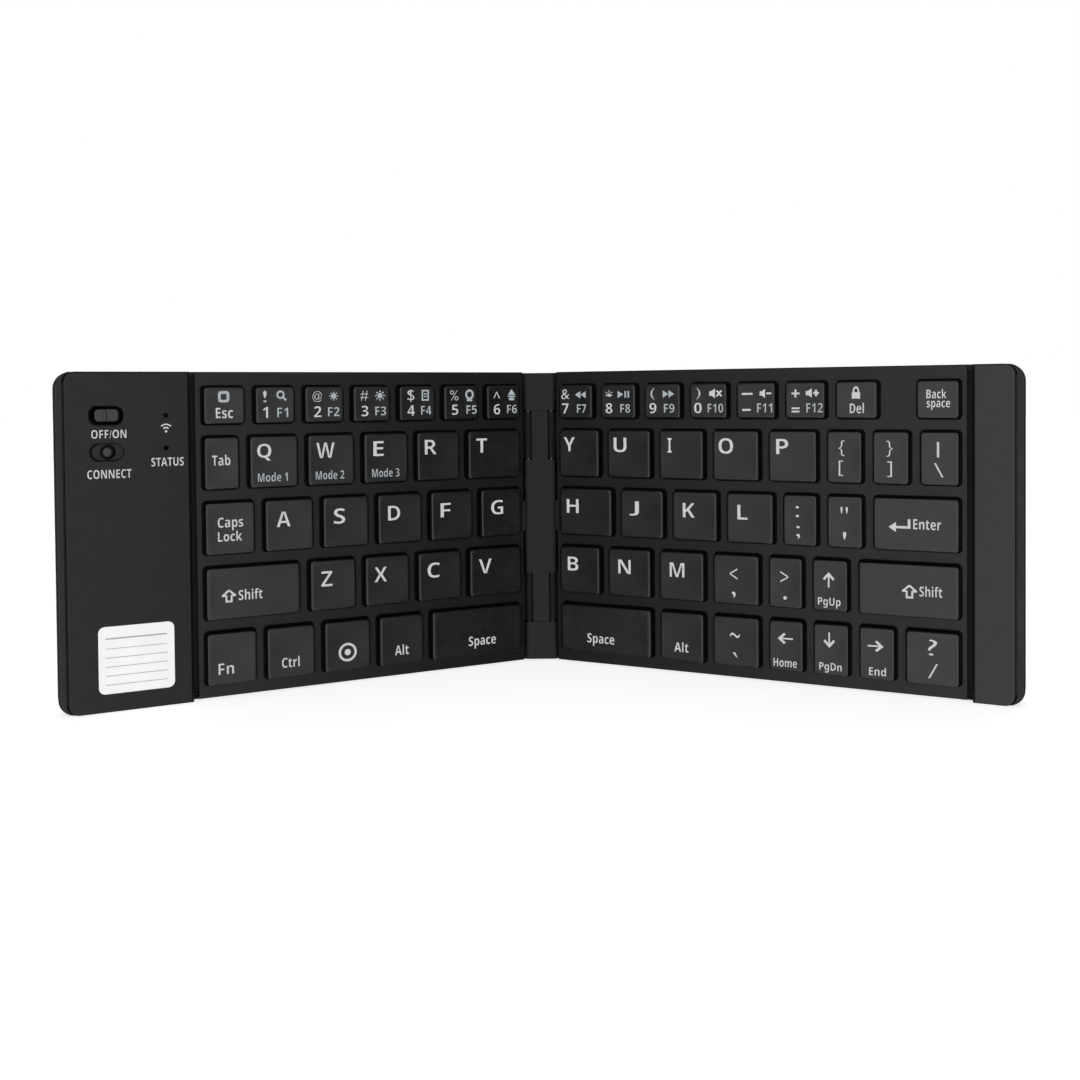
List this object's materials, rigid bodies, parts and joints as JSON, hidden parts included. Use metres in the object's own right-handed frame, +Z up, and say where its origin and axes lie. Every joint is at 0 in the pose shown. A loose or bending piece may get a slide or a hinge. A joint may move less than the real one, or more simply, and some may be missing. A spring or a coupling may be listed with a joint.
{
  "type": "folding keyboard",
  "caption": "Pocket wireless keyboard in two leaves that fold shut on a two-axis spine, with a control panel and low-travel keys.",
  "frame": {"origin": "middle of the box on the plane it stands on, with the leaves folded 25 degrees each towards the user side", "axes": "+X along the open length to the right, +Y from the keys to the back, +Z up from the standing long edge to the other long edge"},
  "size_m": [0.279, 0.0688, 0.098],
  "materials": {
    "case_plastic": "fine matte grain",
    "deck_plastic": "fine matte grain",
    "panel_plastic": "fine matte grain",
    "spine_plastic": "fine matte grain",
    "keycap_plastic": "satin with printed legends",
    "control_plastic": "satin",
    "plate_metal": "rolled sheet",
    "film_plastic": "polyester film",
    "dome_rubber": "silicone",
    "link_plastic": "moulded",
    "hinge_steel": "blackened",
    "foot_rubber": "matte",
    "screw_steel": "blackened",
    "board_laminate": "solder mask",
    "cell_pouch": "foil pouch",
    "socket_metal": "plated shell",
    "lens_plastic": "smoked light pipe",
    "label_paper": "blank sticker"
  },
  "bodies": {
    "spine": {"spine_back_shell": "case_plastic", "spine_front_cover": "spine_plastic", "spine_end_blocks": "spine_plastic", "hinge_pins": "hinge_steel", "flex_ribbon": "film_plastic"},
    "left_leaf": {"left_lower_case": "case_plastic", "left_key_deck": "deck_plastic", "left_control_bezel": "panel_plastic", "left_base_plate": "plate_metal", "left_membrane": "film_plastic", "left_rubber_domes": "dome_rubber", "left_scissor_links": "link_plastic", "left_hinge_leaves": "hinge_steel", "control_board": "board_laminate", "battery_cell": "cell_pouch", "charging_socket": "socket_metal", "indicator_lenses": "lens_plastic", "blank_label": "label_paper", "left_feet": "foot_rubber", "left_screws": "screw_steel"},
    "right_leaf": {"right_lower_case": "case_plastic", "right_key_deck": "deck_plastic", "right_end_bezel": "panel_plastic", "right_base_plate": "plate_metal", "right_membrane": "film_plastic", "right_rubber_domes": "dome_rubber", "right_scissor_links": "link_plastic", "right_hinge_leaves": "hinge_steel", "right_feet": "foot_rubber", "right_screws": "screw_steel"},
    "power_slider": {"power_slider": "control_plastic"},
    "connect_button": {"connect_button": "control_plastic"},
    "left_number_keys": {"left_number_keys": "keycap_plastic"},
    "left_upper_letter_keys": {"left_upper_letter_keys": "keycap_plastic"},
    "left_home_letter_keys": {"left_home_letter_keys": "keycap_plastic"},
    "left_lower_letter_keys": {"left_lower_letter_keys": "keycap_plastic"},
    "esc_key": {"esc_key": "keycap_plastic"},
    "tab_key": {"tab_key": "keycap_plastic"},
    "caps_lock_key": {"caps_lock_key": "keycap_plastic"},
    "left_shift_key": {"left_shift_key": "keycap_plastic"},
    "fn_key": {"fn_key": "keycap_plastic"},
    "ctrl_key": {"ctrl_key": "keycap_plastic"},
    "system_key": {"system_key": "keycap_plastic"},
    "left_alt_key": {"left_alt_key": "keycap_plastic"},
    "left_space_key": {"left_space_key": "keycap_plastic"},
    "right_number_keys": {"right_number_keys": "keycap_plastic"},
    "right_upper_letter_keys": {"right_upper_letter_keys": "keycap_plastic"},
    "right_home_letter_keys": {"right_home_letter_keys": "keycap_plastic"},
    "right_lower_letter_keys": {"right_lower_letter_keys": "keycap_plastic"},
    "right_symbol_keys": {"right_symbol_keys": "keycap_plastic"},
    "delete_key": {"delete_key": "keycap_plastic"},
    "backspace_key": {"backspace_key": "keycap_plastic"},
    "enter_key": {"enter_key": "keycap_plastic"},
    "right_shift_key": {"right_shift_key": "keycap_plastic"},
    "arrow_up_key": {"arrow_up_key": "keycap_plastic"},
    "arrow_left_key": {"arrow_left_key": "keycap_plastic"},
    "arrow_down_key": {"arrow_down_key": "keycap_plastic"},
    "arrow_right_key": {"arrow_right_key": "keycap_plastic"},
    "right_alt_key": {"right_alt_key": "keycap_plastic"},
    "right_space_key": {"right_space_key": "keycap_plastic"}
  },
  "joints": [
    {"name": "left_fold", "type": "hinge", "parent": "spine", "child": "left_leaf", "pos_m": [-0.00395, 0.03086, 0.049], "axis": [0, 0, 1], "range_deg": [-25, 65]},
    {"name": "right_fold", "type": "hinge", "parent": "spine", "child": "right_leaf", "pos_m": [0.00395, 0.03086, 0.049], "axis": [0, 0, -1], "range_deg": [-25, 65]},
    {"name": "power_switch", "type": "slide", "parent": "left_leaf", "child": "power_slider", "axis": [0.9063, 0.4226, 0], "range_m": [0, 0.0008]},
    {"name": "connect_press", "type": "slide", "parent": "left_leaf", "child": "connect_button", "axis": [0.4226, -0.9063, 0], "range_m": [-0.0006, 0], "stiffness_N_per_m": 800, "springref_m": 0.0004},
    {"name": "left_number_keys_press", "type": "slide", "parent": "left_leaf", "child": "left_number_keys", "axis": [0.4226, -0.9063, 0], "range_m": [-0.0015, 0], "stiffness_N_per_m": 1800, "springref_m": 0.0004},
    {"name": "left_upper_letter_keys_press", "type": "slide", "parent": "left_leaf", "child": "left_upper_letter_keys", "axis": [0.4226, -0.9063, 0], "range_m": [-0.0015, 0], "stiffness_N_per_m": 1500, "springref_m": 0.0004},
    {"name": "left_home_letter_keys_press", "type": "slide", "parent": "left_leaf", "child": "left_home_letter_keys", "axis": [0.4226, -0.9063, 0], "range_m": [-0.0015, 0], "stiffness_N_per_m": 1500, "springref_m": 0.0004},
    {"name": "left_lower_letter_keys_press", "type": "slide", "parent": "left_leaf", "child": "left_lower_letter_keys", "axis": [0.4226, -0.9063, 0], "range_m": [-0.0015, 0], "stiffness_N_per_m": 1200, "springref_m": 0.0004},
    {"name": "esc_key_press", "type": "slide", "parent": "left_leaf", "child": "esc_key", "axis": [0.4226, -0.9063, 0], "range_m": [-0.0015, 0], "stiffness_N_per_m": 300, "springref_m": 0.0004},
    {"name": "tab_key_press", "type": "slide", "parent": "left_leaf", "child": "tab_key", "axis": [0.4226, -0.9063, 0], "range_m": [-0.0015, 0], "stiffness_N_per_m": 300, "springref_m": 0.0004},
    {"name": "caps_lock_key_press", "type": "slide", "parent": "left_leaf", "child": "caps_lock_key", "axis": [0.4226, -0.9063, 0], "range_m": [-0.0015, 0], "stiffness_N_per_m": 300, "springref_m": 0.0004},
    {"name": "left_shift_key_press", "type": "slide", "parent": "left_leaf", "child": "left_shift_key", "axis": [0.4226, -0.9063, 0], "range_m": [-0.0015, 0], "stiffness_N_per_m": 300, "springref_m": 0.0004},
    {"name": "fn_key_press", "type": "slide", "parent": "left_leaf", "child": "fn_key", "axis": [0.4226, -0.9063, 0], "range_m": [-0.0015, 0], "stiffness_N_per_m": 300, "springref_m": 0.0004},
    {"name": "ctrl_key_press", "type": "slide", "parent": "left_leaf", "child": "ctrl_key", "axis": [0.4226, -0.9063, 0], "range_m": [-0.0015, 0], "stiffness_N_per_m": 300, "springref_m": 0.0004},
    {"name": "system_key_press", "type": "slide", "parent": "left_leaf", "child": "system_key", "axis": [0.4226, -0.9063, 0], "range_m": [-0.0015, 0], "stiffness_N_per_m": 300, "springref_m": 0.0004},
    {"name": "left_alt_key_press", "type": "slide", "parent": "left_leaf", "child": "left_alt_key", "axis": [0.4226, -0.9063, 0], "range_m": [-0.0015, 0], "stiffness_N_per_m": 300, "springref_m": 0.0004},
    {"name": "left_space_key_press", "type": "slide", "parent": "left_leaf", "child": "left_space_key", "axis": [0.4226, -0.9063, 0], "range_m": [-0.0015, 0], "stiffness_N_per_m": 300, "springref_m": 0.0004},
    {"name": "right_number_keys_press", "type": "slide", "parent": "right_leaf", "child": "right_number_keys", "axis": [-0.4226, -0.9063, 0], "range_m": [-0.0015, 0], "stiffness_N_per_m": 1800, "springref_m": 0.0004},
    {"name": "right_upper_letter_keys_press", "type": "slide", "parent": "right_leaf", "child": "right_upper_letter_keys", "axis": [-0.4226, -0.9063, 0], "range_m": [-0.0015, 0], "stiffness_N_per_m": 1500, "springref_m": 0.0004},
    {"name": "right_home_letter_keys_press", "type": "slide", "parent": "right_leaf", "child": "right_home_letter_keys", "axis": [-0.4226, -0.9063, 0], "range_m": [-0.0015, 0], "stiffness_N_per_m": 1200, "springref_m": 0.0004},
    {"name": "right_lower_letter_keys_press", "type": "slide", "parent": "right_leaf", "child": "right_lower_letter_keys", "axis": [-0.4226, -0.9063, 0], "range_m": [-0.0015, 0], "stiffness_N_per_m": 900, "springref_m": 0.0004},
    {"name": "right_symbol_keys_press", "type": "slide", "parent": "right_leaf", "child": "right_symbol_keys", "axis": [-0.4226, -0.9063, 0], "range_m": [-0.0015, 0], "stiffness_N_per_m": 2700, "springref_m": 0.0004},
    {"name": "delete_key_press", "type": "slide", "parent": "right_leaf", "child": "delete_key", "axis": [-0.4226, -0.9063, 0], "range_m": [-0.0015, 0], "stiffness_N_per_m": 300, "springref_m": 0.0004},
    {"name": "backspace_key_press", "type": "slide", "parent": "right_leaf", "child": "backspace_key", "axis": [-0.4226, -0.9063, 0], "range_m": [-0.0015, 0], "stiffness_N_per_m": 300, "springref_m": 0.0004},
    {"name": "enter_key_press", "type": "slide", "parent": "right_leaf", "child": "enter_key", "axis": [-0.4226, -0.9063, 0], "range_m": [-0.0015, 0], "stiffness_N_per_m": 300, "springref_m": 0.0004},
    {"name": "right_shift_key_press", "type": "slide", "parent": "right_leaf", "child": "right_shift_key", "axis": [-0.4226, -0.9063, 0], "range_m": [-0.0015, 0], "stiffness_N_per_m": 300, "springref_m": 0.0004},
    {"name": "arrow_up_key_press", "type": "slide", "parent": "right_leaf", "child": "arrow_up_key", "axis": [-0.4226, -0.9063, 0], "range_m": [-0.0015, 0], "stiffness_N_per_m": 300, "springref_m": 0.0004},
    {"name": "arrow_left_key_press", "type": "slide", "parent": "right_leaf", "child": "arrow_left_key", "axis": [-0.4226, -0.9063, 0], "range_m": [-0.0015, 0], "stiffness_N_per_m": 300, "springref_m": 0.0004},
    {"name": "arrow_down_key_press", "type": "slide", "parent": "right_leaf", "child": "arrow_down_key", "axis": [-0.4226, -0.9063, 0], "range_m": [-0.0015, 0], "stiffness_N_per_m": 300, "springref_m": 0.0004},
    {"name": "arrow_right_key_press", "type": "slide", "parent": "right_leaf", "child": "arrow_right_key", "axis": [-0.4226, -0.9063, 0], "range_m": [-0.0015, 0], "stiffness_N_per_m": 300, "springref_m": 0.0004},
    {"name": "right_alt_key_press", "type": "slide", "parent": "right_leaf", "child": "right_alt_key", "axis": [-0.4226, -0.9063, 0], "range_m": [-0.0015, 0], "stiffness_N_per_m": 300, "springref_m": 0.0004},
    {"name": "right_space_key_press", "type": "slide", "parent": "right_leaf", "child": "right_space_key", "axis": [-0.4226, -0.9063, 0], "range_m": [-0.0015, 0], "stiffness_N_per_m": 300, "springref_m": 0.0004}
  ]
}
